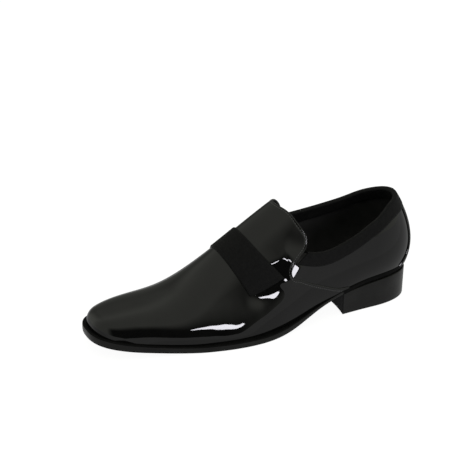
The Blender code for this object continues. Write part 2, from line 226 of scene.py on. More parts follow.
# Creases on the outer side: points of lines on the last, with soft ridges, or troughs at heights below 0
THROAT_RIDGE = ((153.0, 48.3), (143.0, 44.8), (137.0, 43.2), (131.0, 43.6), (124.0, 38.0))
THROAT_CREASES = table(
    "line x turn half_width height",
    *((1, *place, 8.0, 0.9) for place in THROAT_RIDGE),
    *((2, *place, 3.0, 0.25) for place in THROAT_RIDGE),
    (3, 129.0, 37.0, 6.0, 1.4),
    (3, 129.5, 28.0, 6.0, 1.4),
    (4, 136.0, 29.5, 3.0, 0.6),
)
STRAP_END_CREASES = table(
    "line x turn half_width height",
    (1, 172.0, 35.0, 6.0, 0.0),
    (1, 158.0, 30.8, 6.0, -0.9),
    (1, 138.0, 30.0, 5.0, 0.0),
    (2, 200.0, 17.0, 12.0, 0.0),
    (2, 158.0, 19.0, 10.0, 0.6),
    (2, 138.0, 16.0, 10.0, 0.6),
)
QUARTER_CREASES = table(
    "line x turn half_width height",
    (1, 120.0, 29.5, 5.0, 1.15),
    (1, 128.5, 26.0, 5.0, 1.15),
)
# How far ahead and how much higher the inner throat lies
INNER_THROAT_AHEAD = 2.4
INNER_THROAT_HIGHER = 5.5

# Sewing: distance of a row from the edge, and the size of one stitch
SEAM_INSET = 2.0
GROOVE_DEPTH = 0.2
GROOVE_HALF_WIDTH = 0.5
EDGE_PUFF = 0.15
PUFF_INSET = 1.0
PUFF_HALF_WIDTH = 0.8
STITCH_PITCH = 2.4
STITCH_LENGTH = 1.9
STITCH_RADIUS = 0.26
STITCH_BANDS = 5
STITCH_SIDES = 6
STITCH_TAPER = 0.95
STITCH_TAPER_POWER = 4

# Ribbon: pitch and height of its ribs, and its selvedge
RIB_PITCH = 1.1
RIB_HEIGHT = 0.12
RIB_ROUNDNESS = 0.7
RIB_SAMPLES = 5
SELVEDGE = 0.9
SELVEDGE_SMOOTH = 0.6
SELVEDGE_SHARE = 0.3

# Rims of sole, heel and sock: their corners, the steps round a corner and the levels between corners
SOLE_CORNER = 1.0
SOLE_BULGE = 0.15
HEEL_CORNER = 0.7
SOCK_CORNER = 0.8
RIM_CORNER_STEPS = 5
RIM_SIDE_SHARES = (0.25, 0.4, 0.5, 0.6, 0.75)
BREAST_EASE = 4

# Steps round the heel, along the shank and round the toe, of the line to measure and of each plate
MEASURING_STEPS = (60, 160, 40)
SOLE_STEPS, SOLE_LANES = (70, 170, 46), 26
HEEL_STEPS, HEEL_LANES = (90, 160, 2), 30
SOCK_STEPS, SOCK_LANES = (60, 120, 36), 30


def spline(knots, values):
    """Natural cubic through the knots, straight past its ends."""
    count = len(knots)
    step = np.diff(knots)
    rise = np.diff(values) / step
    system = np.eye(count)
    pull = np.zeros(count)
    for i in range(1, count - 1):
        system[i, i - 1 : i + 2] = step[i - 1], 2 * (step[i - 1] + step[i]), step[i]
        pull[i] = 6 * (rise[i] - rise[i - 1])
    bend = np.linalg.solve(system, pull)
    first = rise[0] - step[0] * bend[1] / 6
    last = rise[-1] + step[-1] * bend[-2] / 6

    def at(x):
        x = np.asarray(x, float)
        inside = np.clip(x, knots[0], knots[-1])
        i = np.clip(np.searchsorted(knots, inside) - 1, 0, count - 2)
        width = step[i]
        left = (knots[i + 1] - inside) / width
        right = 1 - left
        curved = (left**3 - left) * bend[i] + (right**3 - right) * bend[i + 1]
        level = left * values[i] + right * values[i + 1] + curved * width**2 / 6
        return level + first * np.minimum(x - knots[0], 0) + last * np.maximum(x - knots[-1], 0)

    return at


def column(source, name):
    """One column of a table as a smooth function of its first column."""
    return spline(next(iter(source.values())), source[name])


half_outer = column(FEATHER, "outer")
half_inner = column(FEATHER, "inner")
shank_z = column(SHANK, "underside")
sole_thickness = column(SOLE, "thickness")
sole_ledge = column(SOLE, "ledge")
sole_flare = column(SOLE, "flare")
ridge_z = column(SECTION, "ridge_z")
ridge_y = column(SECTION, "ridge_y")
crown = column(SECTION, "crown")
side_fullness = column(SECTION, "side")
swell_outer = column(SECTION, "swell_outer")
swell_inner = column(SECTION, "swell_inner")
topline_outer = column(TOPLINE, "outer_z")
topline_inner = column(TOPLINE, "inner_z")
stay_angle = column(STAY_EDGE, "angle")


def rounded(share, power=2):
    """Falls from 1 to 0 along a superellipse, or else a circle, as share goes from 0 to 1."""
    return (1 - np.clip(share, 0, 1) ** power) ** (1 / power)


def underside_z(x):
    """Underside of the sole over the floor."""
    spring = np.maximum((x - BALL_FRONT_X) / (LAST_LENGTH - BALL_FRONT_X), 0)
    toe = TOE_SPRING * spring**TOE_SPRING_POWER
    return np.where(x < BALL_REAR_X, np.maximum(shank_z(np.maximum(x, 0)), 0), toe)


def feather_z(x):
    """Lower edge of the upper, just over the sole."""
    return underside_z(x) + sole_thickness(x)


def feather(run, side):
    """Point of the feather line, with its share of the toe's rounding."""
    turn = np.sin(np.radians(np.clip(-run, 0, 90)))
    x = HEEL_AXIS_X + np.maximum(run, 0) - HEEL_AXIS_X * turn ** (2 / HEEL_ROUNDNESS)
    heel = rounded((HEEL_AXIS_X - x) / HEEL_AXIS_X, HEEL_ROUNDNESS)
    toe = rounded((x - LAST_LENGTH + TOE_CAP_LENGTH) / TOE_CAP_LENGTH, TOE_ROUNDNESS)
    half = np.where(side > 0, half_outer(x), half_inner(x))
    return x, side * half * heel * toe + TOE_TIP_Y * (1 - toe), toe


def surface(run, side, angle):
    """Point of the last: angle is 0 degrees on the feather line and 90 on the ridge."""
    x, y, toe = feather(run, side)
    station = np.maximum(x, HEEL_AXIS_X)
    rise = np.sin(np.radians(angle)) ** (2 / side_fullness(station))
    reach = np.clip(np.cos(np.radians(angle)), 0, 1) ** (2 / crown(station))
    top_y = ridge_y(station) * toe + TOE_TIP_Y * (1 - toe)
    out_x = x - station
    out_y = y - top_y
    length = np.maximum(np.hypot(out_x, out_y), TINY)
    swell = np.where(side > 0, swell_outer(station), swell_inner(station)) * toe
    spread = reach + swell * SWELL_AT_THIRD * rise * (1 - rise) ** 2 / length
    low = feather_z(x)
    nose = rounded((x - LAST_LENGTH + NOSE_LENGTH) / NOSE_LENGTH, NOSE_ROUNDNESS)
    z = low + (ridge_z(station) - low) * nose * rise
    return np.stack(np.broadcast_arrays(station + out_x * spread, top_y + out_y * spread, z), axis=-1)


def over(run, turn):
    """Point of the last by run and turn."""
    run, turn = np.broadcast_arrays(np.asarray(run, float), np.asarray(turn, float))
    return np.where(
        (turn <= 90)[..., None],
        surface(run, OUTER, np.minimum(turn, 90)),
        surface(run, INNER, np.minimum(180 - turn, 90)),
    )


def eased(share):
    """Smooth step from 0 to 1."""
    return share**2 * (3 - 2 * share)


def unit(vectors):
    return vectors / np.maximum(np.linalg.norm(vectors, axis=-1, keepdims=True), TINY)


def frame_at(run, turn):
    """Point, outward normal and upward tangent of the last."""
    run, turn = np.broadcast_arrays(np.asarray(run, float), np.asarray(turn, float))
    tip = LAST_LENGTH - HEEL_AXIS_X
    ahead = over(np.minimum(run + SMALL_STEP, tip), turn) - over(np.maximum(run - SMALL_STEP, -90), turn)
    across = over(run, np.minimum(turn + SMALL_STEP, 180)) - over(run, np.maximum(turn - SMALL_STEP, 0))
    normal = unit(np.cross(across, ahead))
    normal[run > tip - SMALL_STEP] = (1, 0, 0)
    rim = (turn < SMALL_STEP) | (turn > 180 - SMALL_STEP)
    normal[rim, 2] = 0
    up = unit(across) * np.where(turn <= 90, 1, -1)[..., None]
    return over(run, turn), unit(normal), up


def lifted(run, turn, offset, climb=0.0):
    """Point at an offset from the last's surface, and at a climb up it; both may vary over the grid."""
    point, normal, up = frame_at(run, turn)
    return point + normal * np.asarray(offset)[..., None] + up * np.asarray(climb)[..., None]


def angle_at(run, side, z):
    """Section angle at which the wall reaches a height."""
    x, _, _ = feather(run, side)
    station = np.maximum(x, HEEL_AXIS_X)
    low = feather_z(x)
    rise = np.clip((z - low) / (ridge_z(station) - low), 0, 1)
    return np.degrees(np.arcsin(rise ** (side_fullness(station) / 2)))


def turn_of(side, angle):
    return np.where(side > 0, angle, 180 - angle)


def topline_z(run, side):
    return np.where(side > 0, topline_outer(run), topline_inner(run))


def edge_line(edge, rows):
    """Evenly spaced points along an edge table, as angles and x."""
    knots = np.concatenate([[0], np.cumsum(np.hypot(np.diff(edge["angle"]), np.diff(edge["x"])))])
    along = np.linspace(0, knots[-1], rows)
    return spline(knots, edge["angle"])(along), spline(knots, edge["x"])(along)


def outline(run, side, grow):
    """Feather line moved outward in plan."""
    tip = LAST_LENGTH - HEEL_AXIS_X
    x, y, _ = feather(run, side)
    ahead = np.stack(feather(np.minimum(run + SMALL_STEP, tip), side)[:2], axis=-1)
    behind = np.stack(feather(np.maximum(run - SMALL_STEP, -90), side)[:2], axis=-1)
    along = unit(ahead - behind)
    outward = np.stack([-along[:, 1], along[:, 0]], axis=-1) * side
    outward[run <= -90] = (-1, 0)
    outward[run >= tip - SMALL_STEP] = (1, 0)
    return np.stack([x, y], axis=-1) + outward * np.reshape(grow, (-1, 1))


def whole_run(heel_steps, shank_steps, toe_steps, front=LAST_LENGTH - HEEL_AXIS_X):
    """Runs from the heel's back to the toe, closer together round the toe."""
    toe_start = LAST_LENGTH - TOE_CAP_LENGTH - HEEL_AXIS_X
    heel = np.linspace(-90, 0, heel_steps, endpoint=False)
    shank = np.linspace(0, toe_start, shank_steps, endpoint=False)
    sweep = np.sin(np.linspace(0, np.pi / 2, toe_steps))
    runs = np.concatenate([heel, shank, toe_start + TOE_CAP_LENGTH * sweep ** (2 / TOE_ROUNDNESS)])
    return np.append(runs[runs < front - SMALL_STEP], front)


# Place of the shoe's own frame in the part's frame, from the tip and the widest points of the outsole
_, outsole_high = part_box("outsole")
sole_run = whole_run(*MEASURING_STEPS)
sole_x, _, _ = feather(sole_run, OUTER)
widest_outer = outline(sole_run, OUTER, sole_ledge(sole_x) + sole_flare(sole_x))[:, 1].max()
CENTRE = np.array([
    LAST_LENGTH + float(sole_ledge(LAST_LENGTH)) - outsole_high.x / MM,
    widest_outer - outsole_high.y / MM,
    0.0,
])


def to_frame(points):
    return (np.asarray(points) - CENTRE) * MM


def creased(points, creases, inner_ahead=0.0, inner_higher=0.0):
    """Height of the creases at points of the last; those of the inner side mirror the outer ones."""
    total = np.zeros(points.shape[:-1])
    for line in np.unique(creases["line"]):
        row = creases["line"] == line
        run = creases["x"][row] - HEEL_AXIS_X
        turn = creases["turn"][row]
        for places in (over(run, turn), over(run + inner_ahead, 180 - turn - inner_higher)):
            total += ridge_height(points, places, creases["half_width"][row], creases["height"][row])
    return total


def ridge_height(points, places, half_width, height):
    """Height of one ridge, at the nearest place of its line; a line of one place is a bump."""
    nearest = np.linalg.norm(points - places[0], axis=-1)
    result = height[0] * np.exp(-((nearest / half_width[0]) ** 2))
    for i in range(len(places) - 1):
        along = places[i + 1] - places[i]
        share = np.clip(((points - places[i]) @ along) / (along @ along), 0, 1)
        away = np.linalg.norm(points - places[i] - share[..., None] * along, axis=-1)
        ease = eased(share)
        width = half_width[i] + (half_width[i + 1] - half_width[i]) * ease
        rise = height[i] + (height[i + 1] - height[i]) * ease
        result = np.where(away <= nearest, rise * np.exp(-((away / width) ** 2)), result)
        nearest = np.minimum(nearest, away)
    return result


def length_along(line):
    """Distance of each point of a polyline from its start."""
    return np.concatenate([[0], np.cumsum(np.linalg.norm(np.diff(line, axis=0), axis=1))])


def line_distance(points, line):
    """Distance of a grid of points from a polyline that is dense enough to count as points."""
    flat = points.reshape(-1, 3)
    nearest = np.full(len(flat), np.inf)
    for place in line:
        nearest = np.minimum(nearest, ((flat - place) ** 2).sum(axis=1))
    return np.sqrt(nearest).reshape(points.shape[:-1])


def sewn_edge(away):
    """Puff of a folded edge and the groove of its row of stitches, by distance from the edge."""
    puff = EDGE_PUFF * np.exp(-(((away - PUFF_INSET) / PUFF_HALF_WIDTH) ** 2))
    groove = GROOVE_DEPTH * np.exp(-(((away - SEAM_INSET) / GROOVE_HALF_WIDTH) ** 2))
    return puff - groove


def closed_sheet(outside, inside, rear_rim=True, front_rim=True):
    """Vertices and faces of the solid between two grids, and how many faces lie on the outside grid."""
    rows, columns = outside.shape[:2]
    index = np.arange(2 * rows * columns).reshape(2, rows, columns)
    faces = []
    for grid in index:
        corners = grid[:-1, :-1], grid[1:, :-1], grid[1:, 1:], grid[:-1, 1:]
        faces += np.stack(corners, axis=-1).reshape(-1, 4).tolist()
    shown = len(faces) // 2
    rims = [index[:, 0], index[:, -1]]
    rims += [index[:, :, 0]] * rear_rim + [index[:, :, -1]] * front_rim
    for near, far in rims:
        faces += np.stack((near[:-1], near[1:], far[1:], far[:-1]), axis=-1).tolist()
    return np.concatenate([outside.reshape(-1, 3), inside.reshape(-1, 3)]), faces, shown


def add_piece(name, solid, materials, slot, *nodes, uv=None, second=None):
    """One smooth piece; a second material goes on marked faces, or else on all but the outside grid."""
    vertices, faces, shown = solid
    mesh = bpy.data.meshes.new(name)
    mesh.from_pydata(to_frame(vertices).tolist(), [], faces)
    for material in materials:
        mesh.materials.append(material)
    if len(materials) > 1:
        index = np.arange(len(faces)) >= shown if second is None else second
        mesh.polygons.foreach_set("material_index", index.astype(np.int32))
    if uv is not None:
        corner = np.zeros(len(mesh.loops), np.int32)
        mesh.loops.foreach_get("vertex_index", corner)
        layer = mesh.uv_layers.new(name="ribbon")
        layer.data.foreach_set("uv", np.concatenate([uv, uv])[corner].ravel().astype(np.float32))
    shape = bmesh.new()
    shape.from_mesh(mesh)
    bmesh.ops.remove_doubles(shape, verts=shape.verts, dist=TINY)
    bmesh.ops.dissolve_degenerate(shape, edges=shape.edges, dist=TINY)
    bmesh.ops.recalc_face_normals(shape, faces=shape.faces)
    shape.to_mesh(mesh)
    shape.free()
    mesh.shade_smooth()
    mesh.set_sharp_from_angle(angle=math.radians(SHARP_ANGLE))
    piece = bpy.data.objects.new(name, mesh)
    bpy.context.collection.objects.link(piece)
    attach(piece, "root")
    if nodes:
        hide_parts(*nodes)
    return piece


# Materials

TINT_FADE = (0.3, 0.7)


def shader_material(name, values):
    """A material whose even values are set on the shader's own sockets."""
    material = bpy.data.materials.new(name)
    material.use_nodes = True
    shader = material.node_tree.nodes["Principled BSDF"]
    for socket, value in values.items():
        shader.inputs[socket].default_value = value
    return material, material.node_tree.nodes, material.node_tree.links, shader


def noise(nodes, links, place, scale, detail, roughness=0.5):
    texture = nodes.new("ShaderNodeTexNoise")
    texture.inputs["Scale"].default_value = scale
    texture.inputs["Detail"].default_value = detail
    texture.inputs["Roughness"].default_value = roughness
    links.new(place, texture.inputs["Vector"])
    return texture.outputs["Fac"]


def object_place(nodes, links, stretch=(1, 1, 1)):
    coordinate = nodes.new("ShaderNodeTexCoord")
    mapping = nodes.new("ShaderNodeMapping")
    mapping.inputs["Scale"].default_value = stretch
    links.new(coordinate.outputs["Object"], mapping.inputs["Vector"])
    return mapping.outputs["Vector"]


def vary(nodes, links, shader, source, low, high):
    """Roughness between two values by a texture."""
    spread = nodes.new("ShaderNodeMapRange")
    spread.inputs["To Min"].default_value = low
    spread.inputs["To Max"].default_value = high
    links.new(source, spread.inputs["Value"])
    links.new(spread.outputs["Result"], shader.inputs["Roughness"])


def tint(nodes, links, shader, source, dark, light):
    """Colour between two tones by a texture."""
    ramp = nodes.new("ShaderNodeValToRGB")
    for element, position, colour in zip(ramp.color_ramp.elements, TINT_FADE, (dark, light)):
        element.position = position
        element.color = (*colour, 1)
    links.new(source, ramp.inputs["Fac"])
    links.new(ramp.outputs["Color"], shader.inputs["Base Color"])


def bump(nodes, links, source, depth_mm, before=None):
    node = nodes.new("ShaderNodeBump")
    node.inputs["Distance"].default_value = depth_mm * MM
    links.new(source, node.inputs["Height"])
    if before is not None:
        links.new(before, node.inputs["Normal"])
    return node.outputs["Normal"]


def patent_leather():
    """Black lacquered leather: a mirror coat over a dark base, with faint waves and orange peel."""
    material, nodes, links, shader = shader_material("patent_leather", {
        "Specular IOR Level": 0.0,
        "Coat Weight": 0.35,
        "Coat Roughness": 0.02,
        "Coat IOR": 1.5,
    })
    place = object_place(nodes, links)
    waves = noise(nodes, links, place, scale=40, detail=1)
    ripples = noise(nodes, links, place, scale=120, detail=0)
    peel = noise(nodes, links, place, scale=1100, detail=2)
    cloud = noise(nodes, links, place, scale=60, detail=3)
    tint(nodes, links, shader, cloud, dark=(0.0014, 0.0014, 0.0014), light=(0.0022, 0.0022, 0.0021))
    vary(nodes, links, shader, cloud, low=0.3, high=0.5)
    normal = bump(nodes, links, waves, depth_mm=0.06)
    normal = bump(nodes, links, ripples, depth_mm=0.04, before=normal)
    normal = bump(nodes, links, peel, depth_mm=0.0012, before=normal)
    links.new(normal, shader.inputs["Normal"])
    links.new(normal, shader.inputs["Coat Normal"])
    return material


def ribbed_ribbon():
    """Black ribbed ribbon: matt silk with a soft sheen; the ribs are modelled, the threads are bump."""
    material, nodes, links, shader = shader_material("ribbed_ribbon", {
        "Specular IOR Level": 0.05,
        "Sheen Weight": 0.01,
        "Sheen Roughness": 0.4,
    })
    layer = nodes.new("ShaderNodeUVMap")
    layer.uv_map = "ribbon"
    threads = nodes.new("ShaderNodeTexWave")
    threads.bands_direction = "Y"
    threads.inputs["Scale"].default_value = 0.9
    threads.inputs["Distortion"].default_value = 1.5
    threads.inputs["Detail"].default_value = 2
    links.new(layer.outputs["UV"], threads.inputs["Vector"])
    cloud = noise(nodes, links, object_place(nodes, links), scale=300, detail=4, roughness=0.7)
    tint(nodes, links, shader, cloud, dark=(0.0016, 0.0016, 0.0017), light=(0.0032, 0.0032, 0.0032))
    vary(nodes, links, shader, threads.outputs["Fac"], low=0.55, high=0.8)
    links.new(bump(nodes, links, threads.outputs["Fac"], depth_mm=0.04), shader.inputs["Normal"])
    return material


def sock_leather():
    """Black lining leather, matt, with a fine pebble grain."""
    material, nodes, links, shader = shader_material("sock_leather", {"Specular IOR Level": 0.3})
    place = object_place(nodes, links)
    pebble = nodes.new("ShaderNodeTexVoronoi")
    pebble.inputs["Scale"].default_value = 900
    links.new(place, pebble.inputs["Vector"])
    cloud = noise(nodes, links, place, scale=120, detail=4, roughness=0.6)
    tint(nodes, links, shader, cloud, dark=(0.0040, 0.0040, 0.0042), light=(0.0085, 0.0083, 0.0080))
    vary(nodes, links, shader, cloud, low=0.45, high=0.65)
    links.new(bump(nodes, links, pebble.outputs["Distance"], depth_mm=0.05), shader.inputs["Normal"])
    return material


def blackened_leather(name):
    """Edge-dressed sole leather: satin black with fine fibres along the layers."""
    material, nodes, links, shader = shader_material(name, {"Specular IOR Level": 0.09})
    place = object_place(nodes, links, stretch=(0.3, 0.3, 3.0))
    fibres = noise(nodes, links, place, scale=260, detail=4, roughness=0.65)
    cloud = noise(nodes, links, object_place(nodes, links), scale=45, detail=3)
    tint(nodes, links, shader, cloud, dark=(0.0030, 0.0030, 0.0029), light=(0.0060, 0.0060, 0.0058))
    vary(nodes, links, shader, fibres, low=0.3, high=0.5)
    links.new(bump(nodes, links, fibres, depth_mm=0.03), shader.inputs["Normal"])
    return material


def dressing_and_painted_shade():
    """Matt black dressing on the sole's ledge and lower corner, its seat and the heel's breast; its dark
    tone is real dressing, deepened as painted shade on the ledge, the seat and the breast.
    """
    material, nodes, links, shader = shader_material("dressing_and_painted_shade", {"Specular IOR Level": 0.03})
    cloud = noise(nodes, links, object_place(nodes, links), scale=180, detail=4, roughness=0.6)
    tint(nodes, links, shader, cloud, dark=(0.0009, 0.0009, 0.0009), light=(0.0022, 0.0022, 0.0022))
    vary(nodes, links, shader, cloud, low=0.6, high=0.8)
    links.new(bump(nodes, links, cloud, depth_mm=0.05), shader.inputs["Normal"])
    return material


def black_thread():
    material, nodes, links, shader = shader_material("black_thread", {"Specular IOR Level": 0.4})
    strands = noise(nodes, links, object_place(nodes, links), scale=2500, detail=2)
    # Thread tone lifted above the leather's: black thread with a painted sheen, so the rows read as a
    # faint light line
    tint(nodes, links, shader, strands, dark=(0.014, 0.014, 0.014), light=(0.028, 0.028, 0.028))
    vary(nodes, links, shader, strands, low=0.35, high=0.6)
    return material


def pale_floor():
    """White paper that glows, so it hardly darkens in the shade; near the shoe it glows less as a painted
    shadow, and more beyond an edge in front of the shoe.
    """
    material, nodes, links, shader = shader_material("pale_floor", {
        "Specular IOR Level": 0.0,
        "Emission Color": (1, 1, 1, 1),
    })
    place = object_place(nodes, links)
    cloud = noise(nodes, links, place, scale=2, detail=2)
    tint(nodes, links, shader, cloud, dark=(0.08, 0.08, 0.08), light=(0.10, 0.10, 0.10))
    vary(nodes, links, shader, cloud, low=0.8, high=0.9)
    parts = nodes.new("ShaderNodeSeparateXYZ")
    links.new(place, parts.inputs["Vector"])
    # Painted shadow: the paper's glow is lower on the shoe's side of the edge, higher beyond it
    edge = nodes.new("ShaderNodeMapRange")
    edge.inputs["From Min"].default_value = PAINTED_SHADOW_EDGE_Y
    edge.inputs["From Max"].default_value = PAINTED_SHADOW_EDGE_Y + PAINTED_SHADOW_EDGE_SOFT
    edge.inputs["To Min"].default_value = GLOW_IN_PAINTED_SHADOW
    edge.inputs["To Max"].default_value = GLOW_BEYOND_PAINTED_SHADOW
    links.new(parts.outputs["Y"], edge.inputs["Value"])
    links.new(edge.outputs["Result"], shader.inputs["Emission Strength"])
    return material


# Pieces

VAMP_ROWS = 130
VAMP_LAP_COLUMNS = 110
VAMP_TOE_COLUMNS = 50
VAMP_SEAM_COLUMNS = 30
LAP_GROWTH = 1.5
ROLL_STEPS = 5
ROLL_COLUMNS = 2
# Columns of the roll's rim painted dark with the lining material, as the shadow in the gap over the
# quarter
PAINTED_SHADOW_STEPS = 2


def vamp_grid():
    """Run and turn of the vamp's grid: rows leave the rear edge and even out toward the toe."""
    outer_angle, outer_x = edge_line(VAMP_EDGE_OUTER, VAMP_ROWS)
    inner_angle, inner_x = edge_line(VAMP_EDGE_INNER, VAMP_ROWS)
    start_turn = np.concatenate([outer_angle, 180 - inner_angle[-2::-1]])
    start_x = np.concatenate([outer_x, inner_x[-2::-1]])
    even_turn = np.linspace(0, 180, len(start_turn))
    share = np.expm1(LAP_GROWTH * np.linspace(0, 1, VAMP_LAP_COLUMNS)) / np.expm1(LAP_GROWTH)
    lap_x = start_x[:, None] + (LASTED_X - start_x[:, None]) * share
    lap_turn = start_turn[:, None] + (even_turn - start_turn)[:, None] * eased(share)
    fore = LAST_LENGTH - LASTED_X
    toe_x = LASTED_X + fore * np.sin(np.linspace(0, np.pi / 2, VAMP_TOE_COLUMNS + 1))[1:]
    x = np.hstack([lap_x, np.tile(toe_x, (len(start_turn), 1))])
    turn = np.hstack([lap_turn, np.tile(even_turn[:, None], VAMP_TOE_COLUMNS)])
    return x - HEEL_AXIS_X, turn


def vamp_creases(points):
    throat = creased(points, THROAT_CREASES, INNER_THROAT_AHEAD, INNER_THROAT_HIGHER)
    return throat + creased(points, STRAP_END_CREASES)


def quarter_creases(points):
    return creased(points, QUARTER_CREASES, INNER_THROAT_AHEAD, INNER_THROAT_HIGHER)


def edge_roll(point, normal, inward, radius):
    """Half-round edge behind the first column: columns from its rim to the outside and to the inside."""
    along = np.gradient(point, axis=0)
    away = unit(np.cross(along, normal))
    away *= np.where((away * inward).sum(axis=-1, keepdims=True) > 0, -1, 1)
    middle = point - normal * radius
    bend = np.radians(np.linspace(0, 90, ROLL_STEPS, endpoint=False))
    outside = [middle + radius * (away * np.cos(b) + normal * np.sin(b)) for b in bend]
    inside = [middle + radius * (away * np.cos(b) - normal * np.sin(b)) for b in bend]
    return np.stack(outside, axis=1), np.stack(inside, axis=1)


def add_vamp(patent, lining, thread):
    """Vamp and tongue with a rolled, sewn rear edge, and creases at the throat and the strap's ends;
    painted shadow on the roll's rim.
    """
    run, turn = vamp_grid()
    point, normal, _ = frame_at(run, turn)
    edge = point[:, 0].copy()
    radius = 0.5 * VAMP_WALL
    column_width = np.linalg.norm(point[:, 1] - edge, axis=1)
    inset = np.minimum(radius / column_width, ROLL_COLUMNS)
    run[:, 0] += inset * (run[:, 1] - run[:, 0])
    keep = np.concatenate([[0], np.arange(ROLL_COLUMNS + 1, run.shape[1])])
    run, turn = run[:, keep], turn[:, keep]
    point, normal, _ = frame_at(run, turn)
    relief = vamp_creases(point) + sewn_edge(line_distance(point, edge))
    outer_face = point + normal * relief[..., None]
    inner_face = point - normal * VAMP_WALL
    inward = point[:, 1] - point[:, 0]
    roll_outside, roll_inside = edge_roll(outer_face[:, 0], normal[:, 0], inward, radius)
    outside = np.concatenate([roll_outside, outer_face], axis=1)
    inside = np.concatenate([roll_inside, inner_face], axis=1)
    solid = closed_sheet(outside, inside, rear_rim=False, front_rim=False)
    face = np.arange(len(solid[1]))
    # Painted shadow: the roll's outer rim takes the dark lining material, standing in for the shadow of
    # the gap over the quarter
    painted_gap_shadow = face % (outside.shape[1] - 1) < PAINTED_SHADOW_STEPS
    lining_and_painted_shadow = (face >= solid[2]) | painted_gap_shadow
    add_piece("vamp", solid, (patent, lining), "patent_leather", "upper", second=lining_and_painted_shadow)
    away = line_distance(point[:, :VAMP_SEAM_COLUMNS], edge)
    sew("vamp_stitches", outer_face, normal, away, thread)


def sew(name, face, normal, away, thread):
    """Row of stitches on a face whose columns lead away from an edge, at the seam's distance from it."""
    column_at = np.array([np.interp(SEAM_INSET, row, np.arange(len(row))) for row in away])
    lower = np.floor(column_at).astype(int)
    share = (column_at - lower)[:, None]
    rows = np.arange(len(away))
    line = face[rows, lower] * (1 - share) + face[rows, lower + 1] * share
    add_stitches(name, line, normal[rows, lower], thread)


def add_stitches(name, line, normals, thread):
    """A row of stitches along a line, each one a small spindle lying in the surface."""
    length = length_along(line)
    starts = np.arange(STITCH_PITCH, length[-1] - STITCH_PITCH, STITCH_PITCH)
    sweep = np.linspace(-1, 1, STITCH_BANDS)
    girth = STITCH_RADIUS * np.sqrt(np.maximum(1 - STITCH_TAPER * sweep**STITCH_TAPER_POWER, 0))
    spin = np.radians(np.arange(STITCH_SIDES) * 360 / STITCH_SIDES)
    vertices, faces = [], []

    def at(where, values):
        return np.array([np.interp(where, length, values[:, axis]) for axis in range(3)])

    for start in starts:
        middle = at(start, line)
        ahead = unit(at(start + 0.5 * STITCH_LENGTH, line) - at(start - 0.5 * STITCH_LENGTH, line))
        out = unit(at(start, normals))
        across = np.cross(ahead, out)
        first = len(vertices)
        for reach, radius in zip(sweep, girth):
            core = middle + ahead * reach * 0.5 * STITCH_LENGTH
            vertices += [core + radius * (out * math.sin(s) + across * math.cos(s)) for s in spin]
        last = first + (STITCH_BANDS - 1) * STITCH_SIDES
        for near in range(first, last, STITCH_SIDES):
            far = near + STITCH_SIDES
            for side in range(STITCH_SIDES):
                follow = (side + 1) % STITCH_SIDES
                faces.append([near + side, near + follow, far + follow, far + side])
        faces.append([first + side for side in range(STITCH_SIDES)])
        faces.append([last + side for side in reversed(range(STITCH_SIDES))])
    add_piece(name, (np.array(vertices), faces, len(faces)), (thread,), "patent_leather")


def quarter_foot(run, side):
    """Lower edge of the quarters: on the feather line, then along the lap under the vamp's seam."""
    angles = []
    for edge in (VAMP_EDGE_OUTER, VAMP_EDGE_INNER):
        seam = np.argmax(edge["x"])
        lap_x = edge["x"][: seam + 1] + QUARTER_LAP
        angles.append(np.interp(HEEL_AXIS_X + np.maximum(run, 0), lap_x, edge["angle"][: seam + 1]))
    rise = angle_at(run, side, feather_z(feather(run, side)[0]) + QUARTER_RISE)
    return np.maximum(np.where(side > 0, angles[0], angles[1]), rise)


def ring(front, step):
    """Runs and sides from the outer front, back round the heel, to the inner front."""
    shank = np.linspace(front, 0, max(int(front / step), 2), endpoint=False)
    outer = np.concatenate([shank, np.linspace(0, -90, int(90 / step))])
    inner = outer[-2::-1]
    sides = np.concatenate([np.full(len(outer), OUTER), np.full(len(inner), INNER)])
    return np.concatenate([outer, inner]), sides


QUARTER_STEP = 1.5
QUARTER_ROWS = 48


def add_quarters(patent, lining):
    """Both quarters round the heel, running forward under the vamp."""
    run, side = ring(QUARTER_FRONT_X - HEEL_AXIS_X, QUARTER_STEP)
    foot = quarter_foot(run, side)
    top = angle_at(run, side, topline_z(run, side))
    share = np.linspace(0, 1, QUARTER_ROWS)[:, None]
    turn = turn_of(side, foot + (top - foot) * share)
    run = np.broadcast_to(run, turn.shape)
    outside = lifted(run, turn, QUARTER_FACE + quarter_creases(over(run, turn)))
    inside = lifted(run, turn, np.full(turn.shape, QUARTER_FACE - QUARTER_WALL))
    add_piece("quarters", closed_sheet(outside, inside), (patent, lining), "patent_leather", "upper")


def binding_foot_z(run, side):
    return topline_z(run, side) - BINDING_WIDTH


STAY_ROWS = 50
STAY_COLUMNS = 71
STAY_ROUND = 1.8
STAY_EDGE_SHARE = 0.15
STAY_SEAM_COLUMNS = 12


